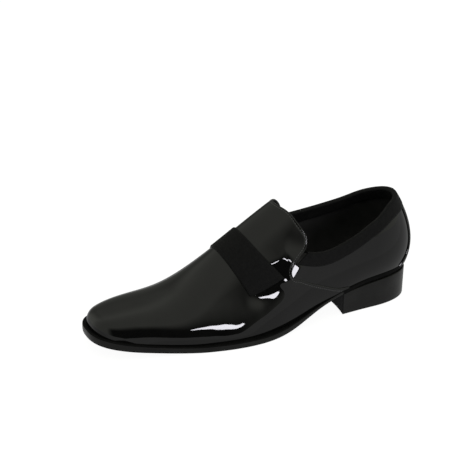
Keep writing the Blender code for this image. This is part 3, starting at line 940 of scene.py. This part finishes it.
def add_back_stay(patent, thread):
    """Strip up the heel's back with rounded edges, sewn along both sides."""
    share = np.linspace(0, 1, STAY_ROWS)[:, None]
    across = np.linspace(-1, 1, STAY_COLUMNS)
    side = np.where(across < 0, OUTER, INNER)
    run = -90 + (90 - stay_angle(share)) * np.abs(across)
    low = feather_z(feather(run, side)[0]) + QUARTER_RISE
    high = binding_foot_z(run, side) - GAP
    turn = turn_of(side, angle_at(run, side, low + (high - low) * share))
    face = QUARTER_FACE + GAP
    base = lifted(run, turn, np.full(turn.shape, face))
    border = np.concatenate([base[:, 0], base[:, -1]])
    away = line_distance(base, border)
    rise = rounded(1 - np.clip(away / STAY_ROUND, 0, 1))
    outside = lifted(run, turn, face + STAY_THICKNESS * (STAY_EDGE_SHARE + (1 - STAY_EDGE_SHARE) * rise))
    add_piece("stay_strip", closed_sheet(outside, base), (patent,), "patent_leather", "back_stay")
    _, normal, _ = frame_at(run, turn)
    near_outer = slice(0, STAY_SEAM_COLUMNS)
    near_inner = slice(-1, -1 - STAY_SEAM_COLUMNS, -1)
    for name, columns in (("outer", near_outer), ("inner", near_inner)):
        sew(f"stay_stitches_{name}", outside[:, columns], normal[:, columns], away[:, columns], thread)


def rib_height(along):
    """Rounded ribs by the distance along the ribbon."""
    return RIB_HEIGHT * np.abs(np.sin(np.pi * along / RIB_PITCH)) ** RIB_ROUNDNESS


BINDING_SIDE_ROWS = 9
BINDING_FOLD_ROWS = 9
BINDING_STEP = 0.5
BINDING_FOOT = 0.5
BINDING_FOOT_SHARE = 0.08
BINDING_TUCK = 2.0
BINDING_THINNING = 0.9
BINDING_THIN_RUN = 4.0


def even_ring(front):
    """Ring of runs spaced evenly along the collar, close enough together for the ribs."""
    run, side = ring(front, BINDING_STEP)
    turn = turn_of(side, angle_at(run, side, topline_z(run, side) - 0.5 * BINDING_WIDTH))
    line = over(run, turn)
    length = length_along(line)
    along = np.arange(0, length[-1], RIB_PITCH / RIB_SAMPLES)
    index = np.interp(along, length, np.arange(len(run)))
    runs = np.interp(index, np.arange(len(run)), run)
    return runs, np.where(index < 0.5 * (len(run) - 1), OUTER, INNER), along


def add_collar_binding(ribbon):
    """Ribbed ribbon folded over the top edge of the quarters, its front ends slanting under the tongue."""
    front = BINDING_FRONT_X + BINDING_TUCK - HEEL_AXIS_X
    run, side, along = even_ring(front)
    face = QUARTER_FACE + GAP
    back = QUARTER_FACE - QUARTER_WALL - GAP
    fold = 0.5 * (face + back)
    half = face + RIBBON - fold
    share = np.linspace(0, 1, BINDING_SIDE_ROWS)
    bend = np.linspace(0, np.pi, BINDING_FOLD_ROWS + 2)[1:-1]
    foot_in = BINDING_FOOT * (1 - np.sqrt(np.minimum(share / BINDING_FOOT_SHARE, 1)))

    # Rows: share of the width, the ribbon's outside and inside from the fold, and the rise over it
    rows = [(s, half - f, face - fold, 0.0) for s, f in zip(share, foot_in)]
    rows += [(1.0, half * np.cos(b), (face - fold) * np.cos(b), np.sin(b)) for b in bend]
    rows += [(s, f - half, back - fold, 0.0) for s, f in zip(share[::-1], foot_in[::-1])]
    near_front = np.clip((run - front + BINDING_SLANT_RUN) / BINDING_SLANT_RUN, 0, 1) ** 2
    outside, inside, places = [], [], []
    width = 0.0
    for part, out, within, rise in rows:
        at = run + BINDING_SLANT * (1 - part) * near_front
        top = angle_at(at, side, topline_z(at, side))
        foot = angle_at(at, side, binding_foot_z(at, side))
        turn = turn_of(side, foot + (top - foot) * part)
        rib = rib_height(along) * np.sign(out)
        climb = GAP * part + (BINDING_CROWN - GAP) * rise + rib_height(along) * rise
        thin = BINDING_THINNING * np.clip(1 - (front - run) / BINDING_THIN_RUN, 0, 1) * (out > 0)
        crease = quarter_creases(over(at, turn)) * max(out / half, 0)
        outside.append(lifted(at, turn, fold + out + crease + rib * (1 - rise) - thin, climb))
        inside.append(lifted(at, turn, fold + within + crease, np.full(len(run), GAP * part)))
        places.append(np.column_stack([along, np.full(len(run), width)]))
        width += BINDING_WIDTH / BINDING_SIDE_ROWS
    solid = closed_sheet(np.array(outside), np.array(inside))
    uv = np.concatenate(places)
    add_piece("collar_ribbon", solid, (ribbon,), "ribbed_ribbon", "collar_binding", uv=uv)


STRAP_COLUMNS = 25
STRAP_SAMPLES = 400
STRAP_TUCK = 2.5
STRAP_DIP = 0.6
STRAP_UNDER_DIP = 0.24


def strap_edges(turn):
    """Rear and front edges of the strap at a turn."""
    drop = 1 - np.sin(np.radians(turn))
    return STRAP_REAR_X - STRAP_REAR_TRAIL * drop, STRAP_FRONT_X - STRAP_FRONT_TRAIL * drop


def add_strap(ribbon):
    """Ribbed ribbon across the vamp, with selvedges, its ends dipping behind the lips of the slits."""
    share = np.linspace(0, 1, STRAP_COLUMNS)
    middle_turn = np.linspace(STRAP_REAR_END_ANGLE, 180 - STRAP_REAR_END_ANGLE, STRAP_SAMPLES)
    rear, front = strap_edges(middle_turn)
    line = over(0.5 * (rear + front) - HEEL_AXIS_X, middle_turn)
    length = length_along(line)
    along = np.arange(0, length[-1], RIB_PITCH / RIB_SAMPLES)
    part = np.interp(along, length, np.linspace(0, 1, len(length)))[:, None]
    end = STRAP_REAR_END_ANGLE + (STRAP_FRONT_END_ANGLE - STRAP_REAR_END_ANGLE) * share
    turn = end + (180 - 2 * end) * part
    rear, front = strap_edges(turn)
    run = rear + (front - rear) * share - HEEL_AXIS_X
    width = np.linalg.norm(over(run[:, -1], turn[:, -1]) - over(run[:, 0], turn[:, 0]), axis=1)[:, None]
    from_edge = width * np.minimum(share, 1 - share)
    body = rounded(1 - np.clip(from_edge / (0.5 * SELVEDGE), 0, 1))
    ribbed = np.clip(from_edge / SELVEDGE - SELVEDGE_SMOOTH, 0, 1)
    from_end = np.minimum(along, length[-1] - along)[:, None]
    dip = (1 - np.clip(from_end / STRAP_TUCK, 0, 1)) ** 2
    top = GAP + RIBBON * (SELVEDGE_SHARE + (1 - SELVEDGE_SHARE) * body) - STRAP_DIP * dip
    crease = vamp_creases(over(run, turn))
    outside = lifted(run, turn, crease + top + (rib_height(along)[:, None] - RIB_HEIGHT) * ribbed)
    inside = lifted(run, turn, crease + GAP - STRAP_UNDER_DIP * dip)
    uv = np.stack(np.broadcast_arrays(along[:, None], width * share), axis=-1).reshape(-1, 2)
    add_piece("strap_ribbon", closed_sheet(outside, inside), (ribbon,), "ribbed_ribbon", "strap", uv=uv)


def slab(run, rim, top, bottom, shares, hollow=0.0, flare=0.0):
    """Plate with a modelled rim, given as rows of outward growth and of level, from 0 up to 1."""
    near_front = np.linspace(0, 1, len(run)) ** BREAST_EASE

    def lane(share, grow, level):
        outer = outline(run, OUTER, grow + flare)
        inner = outline(run, INNER, grow)
        plan = outer + (inner - outer) * share
        x = plan[:, 0]
        height = bottom(x) + (top(x) - bottom(x)) * level
        plan[:, 0] -= hollow * near_front * (1 - (1 - 2 * share) ** 2)
        return np.column_stack([plan, height])

    inset = rim[-1][0]
    upper = [lane(0, *row) for row in rim]
    upper += [lane(share, inset, 1.0) for share in shares[1:-1]]
    upper += [lane(1, *row) for row in rim[::-1]]
    spare = len(rim) - 1
    under_shares = np.concatenate([np.zeros(spare), shares, np.ones(spare)])
    under = [lane(share, rim[0][0], 0.0) for share in under_shares]
    return closed_sheet(np.array(upper), np.array(under), rear_rim=False, front_rim=hollow > 0)


def rim_rows(foot, head, corner, bulge, thickness):
    """Rim profile from the rounded lower corner, over a slightly full side, to the rounded upper one."""
    quarter = np.radians(np.linspace(-90, 0, RIM_CORNER_STEPS))
    rows = [(foot - corner * (1 - np.cos(q)), corner * (1 + np.sin(q)) / thickness) for q in quarter]
    for share in RIM_SIDE_SHARES:
        rows.append((foot + (head - foot) * share + bulge * np.sin(np.pi * share), share))
    for q in quarter[::-1]:
        rows.append((head - corner * (1 - np.cos(q)), 1 - corner * (1 + np.sin(q)) / thickness))
    return rows


def add_outsole(leather, dressing_and_shade):
    """Sole with a satin edge; its ledge, lower corner and seat over the heel take the matt black dressing,
    which on the ledge and the seat is partly painted shade.
    """
    run = whole_run(*SOLE_STEPS)
    x, _, _ = feather(run, OUTER)
    ledge = sole_ledge(x)
    rim = rim_rows(ledge, ledge, SOLE_CORNER, SOLE_BULGE, float(sole_thickness(BALL_FRONT_X)))
    shares = np.linspace(0, 1, SOLE_LANES)
    solid = slab(run, rim, lambda x: feather_z(x) - GAP, underside_z, shares, flare=sole_flare(x))
    lanes = 2 * len(rim) + len(shares) - 3
    lane, station = np.divmod(np.arange(lanes * (len(run) - 1)), len(run) - 1)
    from_foot = np.minimum(lane, lanes - 1 - lane)
    side_end = RIM_CORNER_STEPS + len(RIM_SIDE_SHARES)
    # The ledge and the lower corner take the dark material: real dressing, and on the ledge also painted
    # shade under the upper
    dressed_and_shaded = (from_foot >= side_end) | (from_foot < RIM_CORNER_STEPS - 1)
    # Painted shade: the sole's seat over the heel, under the upper's overhang, takes the dark material too
    dressed_and_shaded |= x[station] < BREAST_X
    second = np.zeros(len(solid[1]), bool)
    second[: len(dressed_and_shaded)] = dressed_and_shaded
    add_piece("sole_plate", solid, (leather, dressing_and_shade), "sole_leather", "outsole", second=second)


def add_heel(leather, dressing_and_shade):
    """Heel block in satin leather; its breast takes the matt black dressing, partly painted shade."""
    run = whole_run(*HEEL_STEPS, front=BREAST_X - HEEL_AXIS_X)
    height = float(underside_z(np.array(HEEL_AXIS_X)))
    rim = rim_rows(-HEEL_TAPER, -HEEL_INSET, HEEL_CORNER, 0.0, height)
    shares = np.linspace(0, 1, HEEL_LANES)
    solid = slab(run, rim, lambda x: underside_z(x) - GAP, np.zeros_like, shares, BREAST_HOLLOW)
    breast_faces = 2 * len(rim) + len(shares) - 3
    # The breast takes the dark material: real dressing, deepened as painted shade
    second = np.arange(len(solid[1])) >= len(solid[1]) - breast_faces
    add_piece("heel_block", solid, (leather, dressing_and_shade), "heel_leather", "heel", second=second)


def add_sock(sock):
    """Insole with its sock, rounded down at the edge."""
    run = whole_run(*SOCK_STEPS)
    rim = rim_rows(-INSOLE_INSET, -INSOLE_INSET, SOCK_CORNER, 0.0, INSOLE_THICKNESS)
    shares = np.linspace(0, 1, SOCK_LANES)
    solid = slab(run, rim, lambda x: feather_z(x) + INSOLE_THICKNESS, feather_z, shares)
    add_piece("sock", solid, (sock,), "sock_leather", "insole")


# Studio: pale floor, white sky, one softbox and the camera; azimuths are in degrees from +X round to +Y

FLOOR_HALF = 12.0
# Edge and glow of the floor: lower glow near the shoe as a painted shadow, higher beyond the edge
PAINTED_SHADOW_EDGE_Y = 0.113
PAINTED_SHADOW_EDGE_SOFT = 0.008
GLOW_IN_PAINTED_SHADOW = 0.94
GLOW_BEYOND_PAINTED_SHADOW = 1.12
SKY = (1.0, 1.02, 0.92)
SKY_STRENGTH = 1.42
DARK_ROOM = (0.01, 0.01, 0.012)
ROOM_START, ROOM_FULL = 35.0, 62.0
ROOM_ENDING, ROOM_END = 104.0, 128.0
ROOM_TOP, ROOM_FADE = 20.0, 31.0
ROOM_TOP_FALL = 1.05
ROOM_TOP_FALL_FROM = 90.5
WALL_START, WALL_FULL = -176.0, -160.0
WALL_ENDING, WALL_END = -85.0, -62.0
WALL_TOP, WALL_FADE = 22.0, 32.0
WALL_SHADE = 0.65
BOX_AZIMUTH, BOX_ELEVATION = 98.6, 14.1
BOX_DISTANCE = 3.0
BOX_LENGTH, BOX_WIDTH = 1.15, 0.20
BOX_TILT = -45.0
BOX_POWER = 34.0
BOX_TINT = (0.95, 0.94, 1.0)
VIEW_AZIMUTH = 155.131
VIEW_ELEVATION = 23.428
VIEW_DISTANCE = 1200.0
VIEW_AIM = (185.65, 26.944, 102.312)
VIEW_LENS = 118.2
SENSOR = 36.0


def add_floor():
    corners = [(-FLOOR_HALF, -FLOOR_HALF), (FLOOR_HALF, -FLOOR_HALF)]
    corners += [(x, -y) for x, y in reversed(corners)]
    mesh = bpy.data.meshes.new("floor")
    mesh.from_pydata([(x, y, 0.0) for x, y in corners], [], [(0, 1, 2, 3)])
    mesh.materials.append(pale_floor())
    floor = bpy.data.objects.new("floor", mesh)
    bpy.context.collection.objects.link(floor)


def add_sky():
    """White sky over a dark room on the camera's side and a dim wall behind the shoe."""
    world = bpy.data.worlds.new("studio")
    bpy.context.scene.world = world
    world.use_nodes = True
    nodes, links = world.node_tree.nodes, world.node_tree.links
    background = nodes["Background"]
    background.inputs["Strength"].default_value = SKY_STRENGTH
    parts = nodes.new("ShaderNodeSeparateXYZ")
    links.new(nodes.new("ShaderNodeTexCoord").outputs["Generated"], parts.inputs["Vector"])

    def set_or_link(socket, value):
        if isinstance(value, (int, float)):
            socket.default_value = value
        else:
            links.new(value, socket)

    def calculate(operation, *values):
        node = nodes.new("ShaderNodeMath")
        node.operation = operation
        for socket, value in zip(node.inputs, values):
            set_or_link(socket, value)
        return node.outputs["Value"]

    def fade(value, start, end, to=(0.0, 1.0)):
        node = nodes.new("ShaderNodeMapRange")
        node.interpolation_type = "SMOOTHSTEP"
        names = ("Value", "From Min", "From Max", "To Min", "To Max")
        for name, given in zip(names, (value, start, end, *to)):
            set_or_link(node.inputs[name], given)
        return node.outputs["Result"]

    def sector(start, full, ending, end):
        return calculate("MULTIPLY", fade(azimuth, start, full), fade(azimuth, ending, end, (1.0, 0.0)))

    azimuth = calculate("DEGREES", calculate("ARCTAN2", parts.outputs["Y"], parts.outputs["X"]))
    elevation = calculate("DEGREES", calculate("ARCSINE", parts.outputs["Z"]))
    past = calculate("MAXIMUM", calculate("SUBTRACT", azimuth, ROOM_TOP_FALL_FROM), 0.0)
    over_top = calculate("ADD", elevation, calculate("MULTIPLY", past, ROOM_TOP_FALL))
    room = sector(ROOM_START, ROOM_FULL, ROOM_ENDING, ROOM_END)
    room = calculate("MULTIPLY", room, fade(over_top, ROOM_TOP, ROOM_TOP + ROOM_FADE, (1.0, 0.0)))
    wall = sector(WALL_START, WALL_FULL, WALL_ENDING, WALL_END)
    wall = calculate("MULTIPLY", wall, fade(elevation, WALL_TOP, WALL_TOP + WALL_FADE, (WALL_SHADE, 0.0)))
    shade = calculate("MAXIMUM", room, wall)
    mix = nodes.new("ShaderNodeMix")
    mix.data_type = "RGBA"
    colours = [socket for socket in mix.inputs if socket.type == "RGBA"]
    colours[0].default_value = (*SKY, 1)
    colours[1].default_value = (*DARK_ROOM, 1)
    links.new(shade, mix.inputs["Factor"])
    links.new([socket for socket in mix.outputs if socket.type == "RGBA"][0], background.inputs["Color"])


def toward(azimuth, elevation):
    """Direction by degrees from +X round to +Y, and up."""
    a, e = math.radians(azimuth), math.radians(elevation)
    return Vector((math.cos(a) * math.cos(e), math.sin(a) * math.cos(e), math.sin(e)))


def add_softbox():
    light = bpy.data.lights.new("softbox", "AREA")
    light.shape = "ELLIPSE"
    light.size = BOX_LENGTH
    light.size_y = BOX_WIDTH
    light.energy = BOX_POWER
    light.color = BOX_TINT
    lamp = bpy.data.objects.new("softbox", light)
    bpy.context.collection.objects.link(lamp)
    aim = toward(BOX_AZIMUTH, BOX_ELEVATION)
    lamp.location = aim * BOX_DISTANCE
    turn = aim.to_track_quat("Z", "Y")
    lamp.rotation_euler = turn.to_euler()
    lamp.rotation_euler.rotate_axis("Z", math.radians(BOX_TILT))


def add_camera():
    view = bpy.data.cameras.new("photo_view")
    view.sensor_width = SENSOR
    view.lens = VIEW_LENS
    camera = bpy.data.objects.new("photo_view", view)
    bpy.context.collection.objects.link(camera)
    back = toward(VIEW_AZIMUTH - 90, VIEW_ELEVATION)
    camera.location = Vector(to_frame(VIEW_AIM)) + back * VIEW_DISTANCE * MM
    camera.rotation_euler = back.to_track_quat("Z", "Y").to_euler()
    bpy.context.scene.camera = camera


def build():
    patent = patent_leather()
    ribbon = ribbed_ribbon()
    sock = sock_leather()
    thread = black_thread()
    add_camera()
    add_vamp(patent, sock, thread)
    add_quarters(patent, sock)
    add_back_stay(patent, thread)
    add_collar_binding(ribbon)
    add_strap(ribbon)
    add_sock(sock)
    # Dark matt material: real dressing, partly painted shade on the ledge, the seat and the breast
    dressing_and_shade = dressing_and_painted_shade()
    add_outsole(blackened_leather("sole_leather"), dressing_and_shade)
    add_heel(blackened_leather("heel_leather"), dressing_and_shade)
    add_floor()
    add_sky()
    add_softbox()
    bpy.context.scene.view_settings.view_transform = "Standard"


build()
